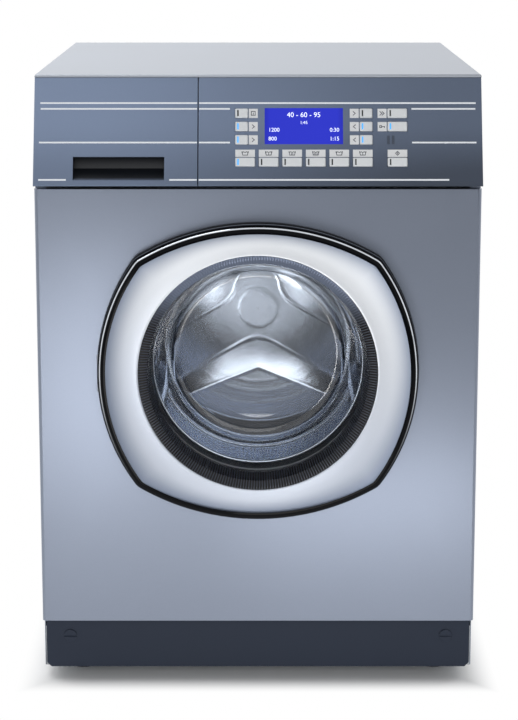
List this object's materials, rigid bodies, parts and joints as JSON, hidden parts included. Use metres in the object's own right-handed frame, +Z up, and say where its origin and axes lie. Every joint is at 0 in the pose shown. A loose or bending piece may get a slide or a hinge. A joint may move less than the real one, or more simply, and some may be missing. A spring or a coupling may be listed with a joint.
{
  "type": "front-loading washing machine",
  "caption": "Front-loading washing machine with a round glass bowl in a four-arc door, leaning control fascia with display and keys, detergent drawer, suspended tub and recessed plinth.",
  "frame": {"origin": "on the floor under the middle of the machine's overall box", "axes": "+X to the right seen from the front, +Y to the back, +Z up"},
  "size_m": [0.6, 0.658, 0.85],
  "materials": {
    "cabinet_paint": "satin grey paint",
    "cover_paint": "satin light silver paint",
    "front_steel": "fine vertical satin finish",
    "fascia_grey": "satin blue-grey moulding",
    "plinth_grey": "satin dark grey moulding",
    "key_silver": "satin silver",
    "label_white": "printed pale inlay",
    "display_lens": "clear lens over a blue display",
    "board_green": "printed circuit board",
    "tray_white": "smooth white",
    "door_silver": "satin silver-white",
    "rim_black": "polished black",
    "frame_black": "fine-grained black",
    "bowl_glass": "clear moulded glass",
    "gasket_rubber": "matt grey rubber",
    "stainless": "bright satin stainless",
    "lifter_grey": "smooth pale grey",
    "tub_grey": "plain moulding",
    "zinc_steel": "zinc plated",
    "cast_aluminium": "as cast",
    "weight_iron": "painted casting",
    "belt_rubber": "matt black rubber",
    "foot_black": "plain moulding"
  },
  "bodies": {
    "cabinet": {"base_frame": "zinc_steel", "cabinet_shell": "cabinet_paint", "rear_service_cover": "zinc_steel", "front_panel": "front_steel", "top_cover": "cover_paint", "cross_rails": "zinc_steel", "plinth_panel": "plinth_grey", "levelling_feet": "foot_black", "control_fascia": "fascia_grey", "panel_windows": "display_lens", "display_board": "board_green", "key_label_plates": "label_white", "drawer_housing": "tub_grey", "door_hinge_bracket": "zinc_steel", "door_lock": "frame_black", "damper_cylinders": "frame_black", "drain_pump": "frame_black", "rear_connections": "frame_black", "suspension_springs": "zinc_steel", "water_hoses": "belt_rubber", "door_gasket": "gasket_rubber"},
    "door": {"door_bezel": "door_silver", "door_rim": "rim_black", "door_back_frame": "frame_black", "door_glass": "bowl_glass", "door_hinge_arm": "zinc_steel", "latch_hook": "zinc_steel"},
    "drawer": {"drawer_front": "fascia_grey", "drawer_tray": "tray_white", "siphon_insert": "tray_white"},
    "tub": {"tub_front": "tub_grey", "tub_rear": "tub_grey", "drum_bearings": "zinc_steel", "drive_motor": "cast_aluminium", "heater_element": "stainless", "counterweights": "weight_iron", "damper_rods": "zinc_steel", "drive_belt": "belt_rubber"},
    "drum": {"drum_basket": "stainless", "drum_lifters": "lifter_grey", "drum_spider": "cast_aluminium", "drum_pulley": "cast_aluminium"},
    "motor_rotor": {"motor_pulley": "zinc_steel"},
    "plinth_catch_left": {"plinth_catch_left": "plinth_grey"},
    "plinth_catch_right": {"plinth_catch_right": "plinth_grey"},
    "key_left_upper": {"key_left_upper": "key_silver"},
    "key_left_middle": {"key_left_middle": "key_silver"},
    "key_left_lower": {"key_left_lower": "key_silver"},
    "key_right_upper": {"key_right_upper": "key_silver"},
    "key_right_middle": {"key_right_middle": "key_silver"},
    "key_right_lower": {"key_right_lower": "key_silver"},
    "key_wide_upper": {"key_wide_upper": "key_silver"},
    "key_wide_middle": {"key_wide_middle": "key_silver"},
    "key_program_1": {"key_program_1": "key_silver"},
    "key_program_2": {"key_program_2": "key_silver"},
    "key_program_3": {"key_program_3": "key_silver"},
    "key_program_4": {"key_program_4": "key_silver"},
    "key_program_5": {"key_program_5": "key_silver"},
    "key_program_6": {"key_program_6": "key_silver"},
    "key_start": {"key_start": "key_silver"}
  },
  "joints": [
    {"name": "door_swing", "type": "hinge", "parent": "cabinet", "child": "door", "pos_m": [-0.2145, -0.315, 0.4495], "axis": [0, 0, -1], "range_deg": [0, 120]},
    {"name": "drawer_slide", "type": "slide", "parent": "cabinet", "child": "drawer", "axis": [0, -1, 0], "range_m": [0, 0.215]},
    {"name": "tub_float", "type": "slide", "parent": "cabinet", "child": "tub", "axis": [0, 0, 1], "range_m": [-0.008, 0.008], "stiffness_N_per_m": 20000, "springref_m": 0.02434, "deforming": ["door_gasket", "suspension_springs", "water_hoses"]},
    {"name": "drum_spin", "type": "hinge", "parent": "tub", "child": "drum", "pos_m": [0, -0.041, 0.4495], "axis": [0, 1, 0], "continuous": true},
    {"name": "motor_spin", "type": "hinge", "parent": "tub", "child": "motor_rotor", "pos_m": [-0.125, 0.239, 0.135], "axis": [0, 1, 0], "continuous": true},
    {"name": "plinth_catch_left_turn", "type": "hinge", "parent": "cabinet", "child": "plinth_catch_left", "pos_m": [-0.2636, -0.281, 0.0617], "axis": [0, 1, 0], "range_deg": [0, 90]},
    {"name": "plinth_catch_right_turn", "type": "hinge", "parent": "cabinet", "child": "plinth_catch_right", "pos_m": [0.2636, -0.281, 0.0617], "axis": [0, 1, 0], "range_deg": [0, 90]},
    {"name": "key_left_upper_press", "type": "slide", "parent": "cabinet", "child": "key_left_upper", "axis": [0, 0.9466, -0.3223], "range_m": [0, 0.0015], "stiffness_N_per_m": 500, "springref_m": -0.002},
    {"name": "key_left_middle_press", "type": "slide", "parent": "cabinet", "child": "key_left_middle", "axis": [0, 0.9466, -0.3223], "range_m": [0, 0.0015], "stiffness_N_per_m": 500, "springref_m": -0.002},
    {"name": "key_left_lower_press", "type": "slide", "parent": "cabinet", "child": "key_left_lower", "axis": [0, 0.9466, -0.3223], "range_m": [0, 0.0015], "stiffness_N_per_m": 500, "springref_m": -0.002},
    {"name": "key_right_upper_press", "type": "slide", "parent": "cabinet", "child": "key_right_upper", "axis": [0, 0.9466, -0.3223], "range_m": [0, 0.0015], "stiffness_N_per_m": 500, "springref_m": -0.002},
    {"name": "key_right_middle_press", "type": "slide", "parent": "cabinet", "child": "key_right_middle", "axis": [0, 0.9466, -0.3223], "range_m": [0, 0.0015], "stiffness_N_per_m": 500, "springref_m": -0.002},
    {"name": "key_right_lower_press", "type": "slide", "parent": "cabinet", "child": "key_right_lower", "axis": [0, 0.9466, -0.3223], "range_m": [0, 0.0015], "stiffness_N_per_m": 500, "springref_m": -0.002},
    {"name": "key_wide_upper_press", "type": "slide", "parent": "cabinet", "child": "key_wide_upper", "axis": [0, 0.9466, -0.3223], "range_m": [0, 0.0015], "stiffness_N_per_m": 500, "springref_m": -0.002},
    {"name": "key_wide_middle_press", "type": "slide", "parent": "cabinet", "child": "key_wide_middle", "axis": [0, 0.9466, -0.3223], "range_m": [0, 0.0015], "stiffness_N_per_m": 500, "springref_m": -0.002},
    {"name": "key_program_1_press", "type": "slide", "parent": "cabinet", "child": "key_program_1", "axis": [0, 0.9466, -0.3223], "range_m": [0, 0.0015], "stiffness_N_per_m": 500, "springref_m": -0.002},
    {"name": "key_program_2_press", "type": "slide", "parent": "cabinet", "child": "key_program_2", "axis": [0, 0.9466, -0.3223], "range_m": [0, 0.0015], "stiffness_N_per_m": 500, "springref_m": -0.002},
    {"name": "key_program_3_press", "type": "slide", "parent": "cabinet", "child": "key_program_3", "axis": [0, 0.9466, -0.3223], "range_m": [0, 0.0015], "stiffness_N_per_m": 500, "springref_m": -0.002},
    {"name": "key_program_4_press", "type": "slide", "parent": "cabinet", "child": "key_program_4", "axis": [0, 0.9466, -0.3223], "range_m": [0, 0.0015], "stiffness_N_per_m": 500, "springref_m": -0.002},
    {"name": "key_program_5_press", "type": "slide", "parent": "cabinet", "child": "key_program_5", "axis": [0, 0.9466, -0.3223], "range_m": [0, 0.0015], "stiffness_N_per_m": 500, "springref_m": -0.002},
    {"name": "key_program_6_press", "type": "slide", "parent": "cabinet", "child": "key_program_6", "axis": [0, 0.9466, -0.3223], "range_m": [0, 0.0015], "stiffness_N_per_m": 500, "springref_m": -0.002},
    {"name": "key_start_press", "type": "slide", "parent": "cabinet", "child": "key_start", "axis": [0, 0.9466, -0.3223], "range_m": [0, 0.0015], "stiffness_N_per_m": 500, "springref_m": -0.002}
  ],
  "couplings": [
    {"joint": "motor_spin", "follows": "drum_spin", "ratio": 11.667}
  ]
}
